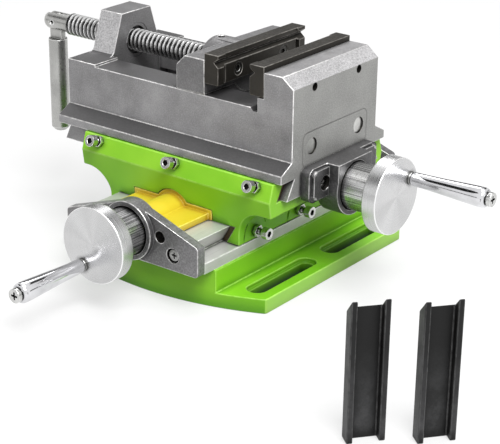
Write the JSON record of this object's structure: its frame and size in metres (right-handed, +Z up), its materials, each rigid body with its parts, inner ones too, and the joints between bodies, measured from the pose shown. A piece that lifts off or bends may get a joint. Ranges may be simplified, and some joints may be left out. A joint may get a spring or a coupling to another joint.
{
  "type": "cross slide vise",
  "caption": "Drill press vise on a cross slide, with a slotted green base, dovetail slides, lead screws with handwheels, grooved jaws and loose rubber jaw pads.",
  "frame": {"origin": "centre of the base's underside", "axes": "+X along the vise, from its clamp screw to its fixed jaw; +Y along the lower slide, away from the lower handwheel; +Z up"},
  "size_m": [0.4688, 0.3486, 0.167],
  "materials": {
    "base_casting": "satin green paint over cast iron, slideway and shelf left as machined grey metal",
    "saddle_casting": "satin green paint over cast iron",
    "yellow_cover": "glossy yellow sheet cover",
    "grey_casting": "milled and cast grey metal",
    "bracket_casting": "raw cast grey metal",
    "turned_aluminium": "turned, bright",
    "screw_steel": "rolled thread, lightly oiled",
    "grip_chrome": "polished",
    "plain_steel": "turned, satin",
    "black_steel": "blackened steel, dark grey with a brown cast",
    "fastener_steel": "zinc plated",
    "bronze": "machined bronze",
    "gib_steel": "ground strip",
    "pad_rubber": "moulded black rubber"
  },
  "bodies": {
    "base": {"base": "base_casting", "front_screw_bracket": "bracket_casting", "front_bracket_screws": "fastener_steel", "rear_screw_bracket": "bracket_casting", "rear_bracket_screws": "fastener_steel", "left_jaw_pad": "pad_rubber", "right_jaw_pad": "pad_rubber"},
    "lower_screw": {"lower_lead_screw": "screw_steel", "lower_dial": "turned_aluminium", "lower_handwheel": "turned_aluminium", "lower_grip_spindle": "plain_steel", "lower_grip_washer": "fastener_steel", "lower_grip_screw": "fastener_steel"},
    "lower_grip": {"lower_grip": "grip_chrome"},
    "saddle": {"saddle": "saddle_casting", "screw_cover": "yellow_cover", "lower_gib": "gib_steel", "upper_gib": "gib_steel", "upper_gib_screws": "fastener_steel", "upper_gib_lock_nuts": "fastener_steel", "lower_gib_screws": "fastener_steel", "lower_gib_lock_nuts": "fastener_steel", "lower_lead_nut": "bronze", "lower_nut_screw": "fastener_steel", "upper_lead_nut": "bronze"},
    "vise": {"vise_body": "grey_casting", "end_plugs": "plain_steel", "fixed_jaw_plate": "black_steel", "fixed_jaw_plate_screws": "fastener_steel", "upper_screw_bracket": "bracket_casting", "upper_bracket_screws": "fastener_steel"},
    "upper_screw": {"upper_lead_screw": "screw_steel", "upper_dial": "turned_aluminium", "upper_handwheel": "turned_aluminium", "upper_grip_spindle": "plain_steel", "upper_grip_washer": "fastener_steel", "upper_grip_screw": "fastener_steel"},
    "upper_grip": {"upper_grip": "grip_chrome"},
    "moving_jaw": {"moving_jaw": "grey_casting", "moving_jaw_plate": "black_steel", "moving_jaw_plate_screws": "fastener_steel", "keeper_plate": "gib_steel", "keeper_bolts": "fastener_steel", "jaw_retaining_pin": "plain_steel"},
    "clamp_screw": {"clamp_screw": "screw_steel", "bar_pin": "fastener_steel"},
    "clamp_bar": {"clamp_bar": "plain_steel"}
  },
  "joints": [
    {"name": "saddle_slide", "type": "slide", "parent": "base", "child": "saddle", "axis": [0, 1, 0], "range_m": [0, 0.05]},
    {"name": "lower_screw_turn", "type": "hinge", "parent": "base", "child": "lower_screw", "pos_m": [0, -0.121, 0.049], "axis": [0, 1, 0], "range_deg": [-1, 4501]},
    {"name": "lower_grip_turn", "type": "hinge", "parent": "lower_screw", "child": "lower_grip", "pos_m": [-0.01004, -0.186, 0.03229], "axis": [0, 1, 0], "continuous": true},
    {"name": "vise_slide", "type": "slide", "parent": "saddle", "child": "vise", "axis": [1, 0, 0], "range_m": [-0.004, 0.05]},
    {"name": "upper_screw_turn", "type": "hinge", "parent": "vise", "child": "upper_screw", "pos_m": [0.112, -0.006, 0.076], "axis": [1, 0, 0], "range_deg": [-361, 4501]},
    {"name": "upper_grip_turn", "type": "hinge", "parent": "upper_screw", "child": "upper_grip", "pos_m": [0.177, 0.01153, 0.08455], "axis": [1, 0, 0], "continuous": true},
    {"name": "jaw_slide", "type": "slide", "parent": "vise", "child": "moving_jaw", "axis": [1, 0, 0], "range_m": [-0.06, 0.027]},
    {"name": "clamp_screw_turn", "type": "hinge", "parent": "moving_jaw", "child": "clamp_screw", "pos_m": [-0.1, -0.006, 0.144], "axis": [1, 0, 0], "range_deg": [-5401, 2431]},
    {"name": "bar_swing", "type": "hinge", "parent": "clamp_screw", "child": "clamp_bar", "pos_m": [-0.1728, -0.006, 0.144], "axis": [0, 1, 0], "range_deg": [0, 180]}
  ],
  "couplings": [
    {"joint": "lower_screw_turn", "follows": "saddle_slide", "rad_per_m": 1570.8},
    {"joint": "upper_screw_turn", "follows": "vise_slide", "rad_per_m": 1570.8},
    {"joint": "clamp_screw_turn", "follows": "jaw_slide", "rad_per_m": 1570.8}
  ]
}
